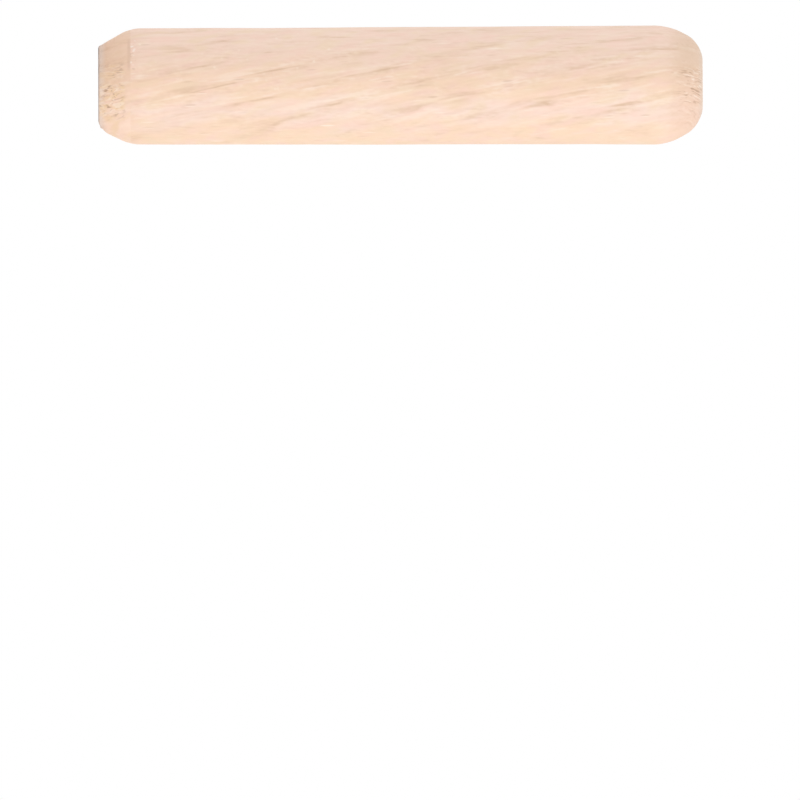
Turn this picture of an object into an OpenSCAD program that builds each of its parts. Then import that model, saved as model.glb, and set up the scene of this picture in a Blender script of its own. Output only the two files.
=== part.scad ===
// Wooden dowel pin: one plain round peg of beech. Both ends are chamfered, so that they
// find their way into a drilled hole. The pin stands on its foot, on the plane z = 0, with
// its axis along +Z. Both chamfers have the cutter's slope. The foot's rim is still fairly
// crisp, and the head is rubbed so round that little of its slope is left.

/* [Pin] */
// Overall length of the pin, from flat to flat
pin_length = 40; // [25:1:60]
// Diameter of the straight shank
pin_dia = 7.9; // [7:0.1:12]

/* [Chamfers] */
// Slope of both chamfers, in degrees away from the axis
chamfer_angle = 28.5; // [22:0.5:34]
// Length of the foot's chamfer along the axis, before its edges are rounded
foot_chamfer_length = 2.1; // [1.5:0.1:3]
// Length of the head's chamfer along the axis, before its edges are rounded
head_chamfer_length = 2.3; // [2:0.1:3]

/* [Rounded edges] */
// Radius of the soft shoulder where the foot's chamfer runs into the shank
foot_shoulder_r = 2.6; // [0.2:0.1:4]
// Radius of the crisp rim around the foot's flat
foot_rim_r = 0.6; // [0.1:0.1:1]
// Radius of the rubbed shoulder where the head's chamfer runs into the shank
head_shoulder_r = 3.6; // [1:0.1:4]
// Radius of the rubbed rim around the head's flat
head_rim_r = 1.5; // [0.2:0.1:2]

/* [Hidden] */
$fn = 128;

pin_r = pin_dia / 2;
pin_middle = pin_length / 2;
// Unit step up a chamfer, as [away from the axis, along the axis]
up_chamfer = [sin(chamfer_angle), cos(chamfer_angle)];
// How far a rounding of radius r reaches from its corner, the same on both sides of it
function rim_reach(r) = r * tan((90 - chamfer_angle) / 2);
function shoulder_reach(r) = r * tan(chamfer_angle / 2);

// Half section of one end, from its flat at 0 up to the middle of the pin.
// Both corners are cut straight across, and a circle fills each one out to a true round.
module end_section(chamfer_length, rim_r, shoulder_r) {
    rim_corner = [pin_r - chamfer_length * tan(chamfer_angle), 0];
    rim_start = rim_corner - [rim_reach(rim_r), 0];
    rim_end = rim_corner + rim_reach(rim_r) * up_chamfer;
    shoulder_corner = [pin_r, chamfer_length];
    shoulder_start = shoulder_corner - shoulder_reach(shoulder_r) * up_chamfer;
    shoulder_end = shoulder_corner + [0, shoulder_reach(shoulder_r)];
    slope_middle = (rim_end + shoulder_start) / 2;

    polygon([
        [0, 0],
        rim_start,
        rim_end,
        shoulder_start,
        shoulder_end,
        [pin_r, pin_middle],
        [0, pin_middle]
    ]);
    rounding(rim_start + [0, rim_r], rim_r, 0);
    rounding(shoulder_end - [shoulder_r, 0], shoulder_r, slope_middle.y);
}

// Circle that rounds a corner: only its part from one height upwards, on one side of the axis
module rounding(centre, r, low) {
    intersection() {
        translate(centre) circle(r = r);
        translate([0, low]) square([pin_dia, pin_length]);
    }
}

// The whole pin, turned about its axis
module dowel_pin() {
    color([0.94, 0.82, 0.72])
    rotate_extrude() {
        end_section(foot_chamfer_length, foot_rim_r, foot_shoulder_r);
        translate([0, pin_length]) mirror([0, 1])
            end_section(head_chamfer_length, head_rim_r, head_shoulder_r);
    }
}

dowel_pin();
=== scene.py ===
import math

import bmesh
import bpy
import mathutils
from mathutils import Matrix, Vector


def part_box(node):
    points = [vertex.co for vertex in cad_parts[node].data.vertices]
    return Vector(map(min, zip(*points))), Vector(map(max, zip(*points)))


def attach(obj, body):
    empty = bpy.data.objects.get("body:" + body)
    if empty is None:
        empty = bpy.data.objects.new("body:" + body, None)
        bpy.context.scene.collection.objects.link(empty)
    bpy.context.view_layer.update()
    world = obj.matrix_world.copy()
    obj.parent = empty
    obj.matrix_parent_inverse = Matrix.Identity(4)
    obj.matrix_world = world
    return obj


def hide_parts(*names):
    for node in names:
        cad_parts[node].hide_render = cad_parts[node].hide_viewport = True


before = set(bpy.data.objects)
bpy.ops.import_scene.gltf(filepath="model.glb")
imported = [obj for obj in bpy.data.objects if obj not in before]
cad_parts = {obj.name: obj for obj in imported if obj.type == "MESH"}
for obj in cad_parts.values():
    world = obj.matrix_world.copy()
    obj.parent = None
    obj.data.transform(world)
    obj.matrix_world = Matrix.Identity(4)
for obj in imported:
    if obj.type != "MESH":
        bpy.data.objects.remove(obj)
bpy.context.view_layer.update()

# ---- The pin ---------------------------------------------------------------------------
# One round peg of plain beech, moulded from a stick, sawn to length and chamfered by a
# cutter at both ends. It is bare wood, with no stain or oil, and goes in dry or with glue.

MM = 0.001

pin_low, pin_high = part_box("dowel_pin")
pin_length = pin_high.z - pin_low.z
pin_r = (pin_high.x - pin_low.x) / 2

foot_share = 0.9765  # the foot's radius as a share of the head's: the pin tapers very slightly
chamfer_angle = math.radians(28.5)
foot_chamfer_length = 2.1 * MM
head_chamfer_length = 2.3 * MM
foot_end_r = pin_r - foot_chamfer_length * math.tan(chamfer_angle)
head_end_r = pin_r - head_chamfer_length * math.tan(chamfer_angle)
foot_shoulder_r = 2.6 * MM
foot_rim_r = 0.18 * MM
head_shoulder_r = 3.6 * MM
head_rim_r = 2.0 * MM
foot_runout = 0.08 * MM  # how far the foot's flat lies off the axis, towards +X
head_runout = 0.08 * MM  # how far the head's flat lies off the axis, towards -X

facets = 288  # round the pin
shank_gap = 0.25 * MM  # between the shank's rings of points
end_gap = 0.08 * MM  # between the rings of points on the chamfers and the flats
hub_r = 0.05 * MM  # of the small face in the middle of each flat
hair = 0.01 * MM  # the tolerance when parts of the mesh are picked by their place
nearly = 0.9  # the share that counts as all, when they are picked by their normal or length


def pick(kind, test):
    """Selects, in edit mode, only the vertices, edges or faces that pass a test."""
    bpy.ops.mesh.select_mode(type=kind)
    bpy.ops.mesh.select_all(action="DESELECT")
    form = bmesh.from_edit_mesh(bpy.context.edit_object.data)
    for element in {"VERT": form.verts, "EDGE": form.edges, "FACE": form.faces}[kind]:
        if test(element):
            element.select_set(True)
    form.select_flush_mode()
    bmesh.update_edit_mesh(bpy.context.edit_object.data)


def level(edge, height):
    """True for an edge that lies at one height."""
    return all(abs(vert.co.z - height) < hair for vert in edge.verts)


def rise(edge):
    """How far an edge climbs along the pin."""
    return abs(edge.verts[0].co.z - edge.verts[1].co.z)


def middle(edge):
    """The height of an edge's middle."""
    return (edge.verts[0].co.z + edge.verts[1].co.z) / 2


def cuts(distance, gap):
    """How many cuts divide a distance into parts of about one gap."""
    return max(1, round(distance / gap) - 1)


# The stick, with a chamfer drawn out of each end.
shank_length = pin_length - foot_chamfer_length - head_chamfer_length
bpy.ops.object.select_all(action="DESELECT")
bpy.ops.mesh.primitive_cylinder_add(
    vertices=facets,
    radius=pin_r,
    depth=shank_length,
    location=(0, 0, foot_chamfer_length + shank_length / 2),
)
pin = bpy.context.object
pin.name = "beech_pin"
bpy.ops.object.transform_apply(location=True, rotation=True, scale=True)
bpy.ops.object.mode_set(mode="EDIT")
for way, length, end_r in (
    (-1, foot_chamfer_length, foot_end_r),
    (1, head_chamfer_length, head_end_r),
):
    pick("FACE", lambda face: face.normal.z * way > nearly)
    bpy.ops.mesh.extrude_region_move(TRANSFORM_OT_translate={"value": (0, 0, way * length)})
    end_share = end_r / pin_r
    bpy.ops.transform.resize(value=(end_share, end_share, 1), center_override=(0, 0, 0))

# The pin tapers a hair towards its foot, and both chamfers were cut a little to one side.
pick("VERT", lambda vert: vert.co.z < pin_length / 2)
bpy.ops.transform.resize(value=(foot_share, foot_share, 1), center_override=(0, 0, 0))
pick("VERT", lambda vert: vert.co.z < hair)
bpy.ops.transform.translate(value=(foot_runout, 0, 0))
pick("VERT", lambda vert: vert.co.z > pin_length - hair)
bpy.ops.transform.translate(value=(-head_runout, 0, 0))

# The shoulders and the rims are rounded over.
rim_turn = math.pi / 2 - chamfer_angle
for height, radius, turn in (
    (foot_chamfer_length, foot_shoulder_r, chamfer_angle),
    (pin_length - head_chamfer_length, head_shoulder_r, chamfer_angle),
    (0, foot_rim_r, rim_turn),
    (pin_length, head_rim_r, rim_turn),
):
    pick("EDGE", lambda edge: level(edge, height))
    bpy.ops.mesh.bevel(
        offset_type="OFFSET",
        offset=radius * math.tan(turn / 2),
        segments=cuts(radius * turn, end_gap) + 1,
        profile=0.5,
        affect="EDGES",
    )

# Each flat gets a small hub, joined to the rim by spokes that are cut into fine rings.
for way, height, radius in (
    (-1, 0, foot_end_r * foot_share - foot_rim_r * math.tan(rim_turn / 2)),
    (1, pin_length, head_end_r - head_rim_r * math.tan(rim_turn / 2)),
):
    pick("FACE", lambda face: face.normal.z * way > nearly and len(face.verts) == facets)
    spoke = radius - hub_r
    bpy.ops.mesh.inset(thickness=spoke)
    bpy.ops.mesh.poke()
    pick("EDGE", lambda edge: level(edge, height) and edge.calc_length() > nearly * spoke)
    bpy.ops.mesh.subdivide(number_cuts=cuts(spoke, end_gap))

# The slopes and the shank are cut into rings too, to carry the wood's own relief. The edges of
# the rounded shoulders and rims are short enough already.
short = 3 * end_gap
for low, high, gap in (
    (0, foot_chamfer_length, end_gap),
    (foot_chamfer_length, pin_length - head_chamfer_length, shank_gap),
    (pin_length - head_chamfer_length, pin_length, end_gap),
):
    pick("EDGE", lambda edge: rise(edge) > short and low < middle(edge) < high)
    long_edges = [edge for edge in bmesh.from_edit_mesh(pin.data).edges if edge.select]
    bpy.ops.mesh.subdivide(number_cuts=cuts(long_edges[0].calc_length(), gap))
bpy.ops.object.mode_set(mode="OBJECT")

# Bare wood is never as smooth as its drawing. The cutter tore some fibres out of the foot's
# chamfer and nicked the head's, in front and behind, and the foot's rim is rubbed at its +X side.
torn_height = (0.3 * MM, 1.7 * MM)
torn_side = (-1.3 * MM, 2.1 * MM)
nicked_from_head = (0.15 * MM, 0.8 * MM)
nicked_side = (-1.1 * MM, 1.3 * MM)
rubbed_height = 0.35 * MM
rubbed_side = 2.5 * MM
flat_r = 2.3 * MM  # the flats are uneven inside this
rim_height = 0.1 * MM  # the shank and the chamfers begin this far from each end
through = 30  # cells this long, in millimetres, go right through the pin, from front to back


def on_outside(vert):
    """True for a point of the shank or of a chamfer."""
    return rim_height < vert.co.z < pin_length - rim_height


def on_torn_foot(vert):
    """True where fibres are torn out of the foot's chamfer."""
    return torn_height[0] < vert.co.z < torn_height[1] and torn_side[0] < vert.co.x < torn_side[1]


def on_nicked_head(vert):
    """True where the head's chamfer is nicked."""
    down = pin_length - vert.co.z
    return nicked_from_head[0] < down < nicked_from_head[1] and nicked_side[0] < vert.co.x < nicked_side[1]


def on_rubbed_rim(vert):
    """True where the foot's rim is rubbed most."""
    return vert.co.z < rubbed_height and vert.co.x > rubbed_side


def on_flats(vert):
    """True for a point of a flat, inside its rim."""
    return (vert.co.z < hair or vert.co.z > pin_length - hair) and vert.co.xy.length < flat_r


def sink(test, softening, depth, cell, noise):
    """
    Sinks the points that pass a test by up to a depth, and softens the edge of that place.
    The cells are of these sizes in millimetres across the pin, into it and along it. Up to
    the first of two values of the noise a point sinks all the way, from the second on not at all.
    """
    bpy.ops.object.mode_set(mode="EDIT")
    pick("VERT", test)
    bpy.ops.object.vertex_group_assign_new()
    bpy.ops.mesh.select_all(action="SELECT")
    bpy.ops.object.vertex_group_smooth(group_select_mode="ACTIVE", factor=0.5, repeat=softening)
    bpy.ops.object.mode_set(mode="OBJECT")
    texture = bpy.data.textures.new("relief", "CLOUDS")
    texture.noise_scale = 1
    texture.noise_depth = 1
    texture.use_color_ramp = True
    for stop, position, grey in zip(texture.color_ramp.elements, noise, (0, 1)):
        stop.position = position
        stop.color = (grey, grey, grey, 1)
    gauge = bpy.data.objects.new("gauge", None)  # its scale gives the noise its cells
    bpy.context.scene.collection.objects.link(gauge)
    gauge.scale = [size * MM for size in cell]
    bpy.context.view_layer.update()
    bpy.ops.object.modifier_add(type="DISPLACE")
    relief = pin.modifiers[-1]
    relief.texture = texture
    relief.texture_coords = "OBJECT"
    relief.texture_coords_object = gauge
    relief.vertex_group = pin.vertex_groups.active.name
    relief.mid_level = 1
    relief.strength = depth
    bpy.ops.object.modifier_apply(modifier=relief.name)
    bpy.data.objects.remove(gauge)
    bpy.data.textures.remove(texture)
    pin.vertex_groups.clear()


sink(on_outside, 1, 0.025 * MM, cell=(5, 5, 16), noise=(0.35, 0.6))  # slow hollows
sink(on_outside, 1, 0.015 * MM, cell=(0.2, 0.2, 3), noise=(0.3, 0.6))  # raised fibres
sink(on_torn_foot, 12, 0.06 * MM, cell=(0.3, through, 1.2), noise=(0.3, 0.5))
sink(on_nicked_head, 4, 0.08 * MM, cell=(0.24, through, 0.8), noise=(0.25, 0.4))
sink(on_rubbed_rim, 12, 0.14 * MM, cell=(1, 1, 1), noise=(0.8, 1.0))
sink(on_flats, 2, 0.05 * MM, cell=(0.2, 0.2, 1), noise=(0.2, 0.8))
bpy.ops.object.shade_smooth()


class Wire:
    """A socket of a material's nodes. Arithmetic on wires adds Math nodes."""

    def __init__(self, socket):
        self.socket = socket

    def node(self, kind, settings, values, output=0):
        """Adds a node beside this socket's own: first its settings, then its sockets."""
        tree = self.socket.id_data
        made = tree.nodes.new(kind)
        for name, value in settings.items():
            if name == "stops":
                stops = made.color_ramp.elements
                for position, grey in value[1:-1]:
                    stops.new(position)
                for stop, (position, grey) in zip(stops, value):
                    stop.position = position
                    stop.color = (grey, grey, grey, 1)
            else:
                setattr(made, name, value)
        for name, value in values.items():
            if isinstance(value, Wire):
                tree.links.new(value.socket, made.inputs[name])
            else:
                made.inputs[name].default_value = value
        return Wire(made.outputs[output])

    def math(self, operation, first, second):
        return self.node("ShaderNodeMath", {"operation": operation}, {0: first, 1: second})

    def __add__(self, other):
        return self.math("ADD", self, other)

    def __sub__(self, other):
        return self.math("SUBTRACT", self, other)

    def __rsub__(self, other):
        return self.math("SUBTRACT", other, self)

    def __mul__(self, other):
        return self.math("MULTIPLY", self, other)

    def __truediv__(self, other):
        return self.math("DIVIDE", self, other)

    __radd__ = __add__
    __rmul__ = __mul__

    def between(self, start, end):
        """0 before the start, 1 past the end, and a smooth change between. The end may be lower."""
        return self.node(
            "ShaderNodeMapRange",
            {"interpolation_type": "SMOOTHSTEP"},
            {"Value": self, "From Min": start, "From Max": end},
        )

    def mix(self, under, over):
        """The colour at this share of the way from one colour to another."""
        return self.node("ShaderNodeMix", {"data_type": "RGBA"}, {0: self, 6: under, 7: over}, 2)


# The wood's colours: the bare wood's four, those of its marks and of both ends, some of them
# painted light and shade.
lavender = (0.925, 0.707, 0.605, 1)
straw = (0.94, 0.684, 0.492, 1)
pink = (0.945, 0.660, 0.555, 1)
olive = (0.900, 0.695, 0.500, 1)
tan = (0.73, 0.512, 0.358, 1)
brown = (0.68, 0.46, 0.34, 1)
dark_brown = (0.50, 0.32, 0.21, 1)
pale = (1.0, 0.84, 0.71, 1)
end_tan = (0.855, 0.61, 0.44, 1)
foot_painted_light_peach = (1.0, 0.755, 0.63, 1)
end_olive = (0.772, 0.563, 0.41, 1)
end_pink = (0.881, 0.613, 0.474, 1)
torn_straw = (0.90, 0.67, 0.43, 1)
burr_white = (1.0, 0.86, 0.78, 1)
head_rim_painted_sheen_and_shade = (0.72, 0.65, 0.58, 1)
foot_rim_painted_light = (0.88, 0.76, 0.69, 1)

# The material, and the lines that its grain follows.
beech = bpy.data.materials.new("bare_beech")
beech.use_nodes = True
surface = beech.node_tree.nodes["Principled BSDF"]
coordinates = beech.node_tree.nodes.new("ShaderNodeTexCoord")
place = Wire(coordinates.outputs["Object"])
ring_lean = math.radians(13)  # the rings climb towards -X as they run from foot to head
ring_turn = math.radians(-16)  # they face outwards between +X and -Y
waver_lean = math.radians(9)
spindle_lean = math.radians(10)
lying_lean = math.radians(2)
fibre_lean = math.radians(3)
glint_lean = math.radians(4)


def grain(outward, round_rings, along, lean=0.0, start=0.0):
    """
    Coordinates that follow the wood, in cells of these sizes in millimetres. Another start
    gives another draw of the same pattern.
    """
    return place.node(
        "ShaderNodeMapping",
        {"vector_type": "TEXTURE"},
        {
            "Vector": place,
            "Location": (start * MM, start * MM, start * MM),
            "Rotation": (0, -lean, ring_turn),
            "Scale": (outward * MM, round_rings * MM, along * MM),
        },
    )


def mottle(cells, detail=1.0, wander=0.0):
    """Soft noise from about -0.5 to 0.5, in those cells."""
    noise = place.node(
        "ShaderNodeTexNoise", {}, {"Vector": cells, "Scale": 1.0, "Detail": detail, "Distortion": wander}
    )
    return noise - 0.5


def part(vector, axis):
    """One of a vector's numbers."""
    return place.node("ShaderNodeSeparateXYZ", {}, {0: vector}, axis)


def specks(cells, size):
    """Specks of uneven strength, up to 1 in the middle. Their size is a share of their cell."""
    near = place.node("ShaderNodeTexVoronoi", {"feature": "F1"}, {"Vector": cells, "Scale": 1.0})
    strength = part(Wire(near.socket.node.outputs["Color"]), 0)
    return (1 - near.between(size * 0.4, size)) * strength * strength


# Where a point is, in millimetres: across from -X to +X, up from the foot, down from the head.
# The figure is strong in front and behind, and weaker at the +X and -X sides.
side = part(place, 0) / MM
height = part(place, 2) / MM
from_head = pin_length / MM - height
face = side.between(-3.5, -1.4) * (1 - side.between(1.7, 3.5))

# From here on each line lays one colour over those before it, where a pattern is strong, and
# the numbers beside the pattern say how much of it shows at most. The bare wood itself drifts
# from a cool tone to a warm one several times across the stick, along lines that waver by up to
# 2 mm, with pink and olive patches.
waver = mottle(grain(0.8, 2.0, 3.5, waver_lean, 17.0), 1.5)
drift = (side + waver * 4.0) / (pin_r / MM) * 0.5 + 0.5
drift_stops = (
    (0.0, 0.25), (0.12, 0.2), (0.29, 0.4), (0.47, 0.85), (0.56, 0.8), (0.73, 0.05), (0.87, 0.8), (1.0, 1.0)
)
yellow = drift.node("ShaderNodeValToRGB", {"stops": drift_stops}, {"Fac": drift})
blush = mottle(grain(0.6, 1.2, 1.6, ring_lean, 29.0), 1.0)
wood = yellow.mix(lavender, straw)
wood = (blush.between(-0.05, 0.25) * 0.6).mix(wood, pink)
wood = (blush.between(0.0, -0.25) * 0.6).mix(wood, olive)

# The cutter's heat and the end grain give both chamfers a deeper tone. As much of it lies under
# the figure as over it.
stain = mottle(grain(0.5, through, 0.9, 0.0, 27.0), 1.0)
end_foot = (1 - height.between(2.05, 2.2)) * 0.62
# On the foot the deeper tone turns to a paler peach towards +X: painted light on the lamp's side of a
# chamfer that faces down to the floor.
foot_tone_and_painted_light = (side + stain * 3.0).between(-1.5, 3.0).mix(end_tan, foot_painted_light_peach)
end_head = (1 - from_head.between(0.8, 2.8)) * 0.85
head_tone = side.between(-2.5, 2.5).mix(end_olive, end_pink)
wood = (end_foot * 0.6).mix(wood, foot_tone_and_painted_light)
wood = (end_head * 0.6).mix(wood, head_tone)

# Broad lens-shaped patches, darker and paler, where the rings run out of the surface.
lenses = mottle(grain(0.6, 2.4, 3.2, ring_lean, 7.0), 1.5)
clear = mottle(grain(0.75, 2.4, 2.8, ring_lean, 19.0), 1.0)
wood = (lenses.between(0.0, 0.3) * 0.08).mix(wood, tan)
wood = (lenses.between(0.0, -0.3) * 0.1).mix(wood, pale)
wood = (clear.between(0.04, 0.3) * 0.15).mix(wood, pale)

# Growth rings, a millimetre and a half apart: each is palest early and darkens towards its end.
# A broad band a little to the -X side, away from the lamp, is painted browner as painted shade.
ring_width = 1.5
first_ring = 0.12  # how far through a ring the axis lies
outward = part(grain(1, 1, 1, ring_lean), 0)
sway = mottle(grain(3, 6, 7), 1.0) * 0.6
ragged = mottle(grain(0.45, 0.9, 3.2, 0.0, 31.0), 1.0) * 0.5
rings = (outward + sway + ragged) / ring_width + first_ring
phase = place.node("ShaderNodeMath", {"operation": "FRACT"}, {0: rings})
ring_stops = ((0.0, 0.4), (0.15, 0.0), (0.55, 0.0), (0.8, 0.5), (0.93, 1.0), (1.0, 0.4))
late = phase.node("ShaderNodeValToRGB", {"stops": ring_stops}, {"Fac": phase})
late = late * (face * 0.5 + 0.5)
painted_shade_band = side.between(-3.0, -1.2) * (1 - side.between(-0.6, 0.8))
wood = (late * 0.15).mix(wood, tan)
wood = (painted_shade_band * 0.09).mix(wood, brown)

# The dark wood lies in spindles, with pale ones between. They lean where the figure is strong,
# follow one another up the ring, and lie nearly straight along the pin at its sides. Open vessels
# and broken fibres fray their edges.
vessels = mottle(grain(0.22, 0.22, 1.4, fibre_lean, 11.0), 1.0)
fuzz = mottle(grain(0.16, 0.16, 0.42, 0.0, 5.0), 0.5)
leaning = mottle(grain(0.32, 1.5, 3.4, spindle_lean, 107.0), 1.0, 0.5)
lying = mottle(grain(0.32, 1.5, 3.2, lying_lean, 85.0), 1.0, 0.5)
spindles = lying + (leaning - lying) * side.between(-2.7, -0.7) * (1 - side.between(1.8, 3.4) * 0.5)
spindles = spindles + vessels * 0.22 + fuzz * 0.15
wood = (spindles.between(-0.02, 0.29) * (0.21 + late * 0.84)).mix(wood, tan)
wood = (spindles.between(0.0, -0.28) * (0.16 + face * 0.15 + late * 0.43)).mix(wood, pale)

# The finest marks. The same vessels and broken fibres show by themselves too, plainest where the
# surface is rough. Beech's own brown flecks each have a pale edge of painted highlight, and a few
# fibres carry painted glints. Pale dust clings to the rough places of the -X side, most of it near
# the foot.
rough = mottle(grain(1.0, 2.0, 3.0, ring_lean, 53.0), 1.0).between(0.12, -0.12) * (face * 0.5 + 0.5)
flecks = specks(grain(0.36, 0.36, 2.6, fibre_lean, 3.0), 0.2)
fleck_painted_highlights = specks(grain(0.36, 0.36, 2.6, fibre_lean, 3.07), 0.2)
glints = specks(grain(0.8, 0.8, 6.0, glint_lean, 61.0), 0.12)
dust = specks(grain(0.45, 0.45, 0.45, 0.0, 9.0), 0.3)
wood = (vessels.between(0.05, 0.3) * (0.02 + rough * 0.2)).mix(wood, brown)
wood = (fuzz.between(0.0, 0.35) * (0.02 + rough * 0.11)).mix(wood, brown)
wood = (fuzz.between(0.0, -0.35) * (0.02 + rough * 0.15)).mix(wood, pale)
wood = (fleck_painted_highlights * (face * 0.25 + 0.28)).mix(wood, pale)
wood = (flecks * (face * 0.13 + 0.2)).mix(wood, dark_brown)
wood = (glints * 0.8).mix(wood, pale)
dusty = rough * side.between(1.5, -2.0) * (1 - height.between(10.0, 20.0) * 0.8)
wood = (dust * dusty * 0.9).mix(wood, pale)
wood = (end_foot * 0.6).mix(wood, foot_tone_and_painted_light)
wood = (end_head * 0.6).mix(wood, head_tone)

# The foot's rim is painted a paler, cooler tone, as painted light against the shade where it
# stands on the floor. Its torn chamfer has a stronger yellow in patches, and cracks darkened with
# painted shade, each with a ridge of painted highlight beside it, in two sizes.
wood = ((1 - height.between(0.05, 0.6)) * 0.8).mix(wood, foot_rim_painted_light)
torn = side.between(-1.6, -1.3) * (1 - side.between(-0.7, -0.4)) * 0.6
torn = torn + side.between(-0.3, 0.0) * (1 - side.between(1.4, 2.6))
torn = torn * height.between(0.0, 0.15) * (1 - height.between(1.55, 1.9))
patches = mottle(grain(0.45, through, 1.0, 0.0, 47.0), 1.5).between(-0.06, 0.06)
tears = mottle(grain(0.28, through, 0.9, 0.0, 42.0), 1.0, 1.5)
crumbs = mottle(grain(0.17, through, 0.5, 0.0, 56.0), 1.5, 1.1)
wood = (end_foot * stain.between(-0.02, -0.2) * side.between(-1.0, 2.2) * 0.9).mix(wood, torn_straw)
wood = (torn * patches * 0.75).mix(wood, torn_straw)
# The torn fibres' ridges get painted highlight and their cracks painted shade.
wood = (torn * tears.between(-0.05, -0.18) * 0.6).mix(wood, pale)
wood = (torn * tears.between(0.1, 0.22) * 0.8).mix(wood, dark_brown)
wood = (torn * crumbs.between(-0.06, -0.2) * 0.65).mix(wood, pale)
wood = (torn * crumbs.between(0.07, 0.25) * 0.75).mix(wood, dark_brown)

# The head's nicks: short splits, each darkened with painted shade beside a pale edge of painted
# highlight, and fainter towards +X.
nicked = side.between(-1.35, -0.8) * (1 - side.between(0.9, 1.4) * 0.7) * (1 - side.between(2.4, 3.2))
nicked = nicked * from_head.between(0.05, 0.12) * (1 - from_head.between(0.9, 2.0))
splits = mottle(grain(0.14, through, 0.6, 0.0, 50.0), 1.0, 0.8)
wood = (nicked * splits.between(-0.03, -0.18) * 0.7).mix(wood, pale)
wood = (nicked * splits.between(0.05, 0.22) * 0.75).mix(wood, dark_brown)

# Towards -X the foot's cutter left a row of small pale burrs at the shoulder, above a line of
# painted shade.
frayed = side.between(-3.3, -2.9) * (1 - side.between(-1.4, -0.9))
burr = frayed * height.between(2.05, 2.2) * (1 - height.between(2.35, 2.55))
burr_painted_shade = frayed * height.between(1.85, 2.0) * (1 - height.between(2.05, 2.2))
teeth = mottle(grain(0.2, through, 0.4, 0.0, 43.0), 1.0)
wood = (burr * teeth.between(0.04, 0.16) * 0.85).mix(wood, burr_white)
wood = (burr * teeth.between(-0.1, -0.18) * 0.7).mix(wood, brown)
wood = (burr_painted_shade * 0.35).mix(wood, brown)

# The head's rim is painted grey round a browner flat: a painted sheen and shade at the edge, where
# the rim turns away. Both flats show end grain: the dark end of each ring, pale rays across the
# rings, and fine open pores.
ends = (1 - height.between(0.05, 0.1)) + (1 - from_head.between(0.05, 0.1))
rays = mottle(grain(1.2, 0.06, 9.0, 0.0, 37.0), 1.0)
pores = specks(grain(0.13, 0.13, 9.0, 0.0, 23.0), 0.35)
head_flat = 1 - from_head.between(0.02, 0.09)
wood = ((1 - from_head.between(0.05, 0.3)) * (1 - head_flat * 0.6) * 0.38).mix(wood, head_rim_painted_sheen_and_shade)
wood = (head_flat * 0.4).mix(wood, end_tan)
wood = (ends * late * 0.5).mix(wood, tan)
wood = (ends * rays.between(0.05, 0.25) * 0.5).mix(wood, pale)
wood = (ends * pores * 0.8).mix(wood, dark_brown)
beech.node_tree.links.new(wood.socket, surface.inputs["Base Color"])

# Unpolished wood is dull, and its vessels, flecks and broken fibres can just be felt.
surface.inputs["Roughness"].default_value = 0.65
felt = vessels * 0.6 - flecks * 0.6 + fuzz * 0.4
bump = place.node("ShaderNodeBump", {}, {"Strength": 0.4, "Distance": 0.02 * MM, "Height": felt})
beech.node_tree.links.new(bump.socket, surface.inputs["Normal"])
pin.data.materials.clear()
pin.data.materials.append(beech)

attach(pin, "root")
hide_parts("dowel_pin")

# ---- The floor -------------------------------------------------------------------------
# A sheet of plain pale paper that the pin stands on, wide enough to run out of view. To the
# camera it glows a little, so that it looks as white as the room behind it.

floor_r = 0.4
paper_white = (0.92, 0.92, 0.92, 1)
glow = 0.3
bpy.ops.mesh.primitive_circle_add(vertices=64, radius=floor_r, fill_type="NGON", location=(0, 0, 0))
floor = bpy.context.object
floor.name = "pale_floor"
paper = bpy.data.materials.new("pale_paper")
paper.use_nodes = True
sheet = paper.node_tree.nodes["Principled BSDF"]
sheet.inputs["Base Color"].default_value = paper_white
sheet.inputs["Roughness"].default_value = 1.0
sheet.inputs["Specular IOR Level"].default_value = 0.0
sheet.inputs["Emission Strength"].default_value = glow
rays_seen = paper.node_tree.nodes.new("ShaderNodeLightPath")
seen = Wire(rays_seen.outputs["Is Camera Ray"])
paper.node_tree.links.new(seen.mix((0, 0, 0, 1), (1, 1, 1, 1)).socket, sheet.inputs["Emission Color"])
floor.data.materials.append(paper)

# ---- The light -------------------------------------------------------------------------
# A white room all round, and one broad soft lamp in front of the pin, to its +X side. What
# the camera sees of the room is plain white, and the room lights the pin a little less.

room_light = 0.97
room = bpy.data.worlds.new("white_room")
bpy.context.scene.world = room
room.use_nodes = True
walls = room.node_tree.nodes["Background"]
rays_seen = room.node_tree.nodes.new("ShaderNodeLightPath")
seen = Wire(rays_seen.outputs["Is Camera Ray"]) + Wire(rays_seen.outputs["Is Glossy Ray"])
seen = seen + Wire(rays_seen.outputs["Is Transmission Ray"])
strength = seen * (1 - room_light) + room_light
walls.inputs["Color"].default_value = (1, 1, 1, 1)
room.node_tree.links.new(strength.socket, walls.inputs["Strength"])

lamp_place = mathutils.Vector((0.15, -0.124, 0.04))
lamp_width = 0.15
lamp_watts = 0.06
bpy.ops.object.light_add(type="AREA", location=lamp_place)
lamp = bpy.context.object
lamp.name = "soft_lamp"
lamp.data.shape = "DISK"
lamp.data.size = lamp_width
lamp.data.energy = lamp_watts
lamp.visible_camera = False
aim = mathutils.Vector((0, 0, pin_length / 2)) - lamp_place
lamp.rotation_euler = aim.to_track_quat("-Z", "Y").to_euler()

# ---- The camera ------------------------------------------------------------------------
# It looks square onto the pin's -Y side, rolled so that the pin lies across the picture with
# its foot to the left, above the picture's middle and a hair off level.

frame_width = 1.3235 * pin_length  # what the camera sees, measured along the pin
pin_above = 0.3928 * frame_width  # from the picture's middle up to the pin's axis
camera_away = 0.3
camera_height = pin_length / 2 - 0.1 * MM
off_level = math.radians(0.18)
bpy.ops.object.camera_add(
    location=(pin_above, -camera_away, camera_height),
    rotation=(math.pi / 2, -math.pi / 2 + off_level, 0),
)
camera = bpy.context.object
camera.data.type = "ORTHO"
camera.data.ortho_scale = frame_width
camera.data.clip_start = 0.001
camera.data.clip_end = 2.0
bpy.context.scene.camera = camera
bpy.context.scene.view_settings.view_transform = "Standard"
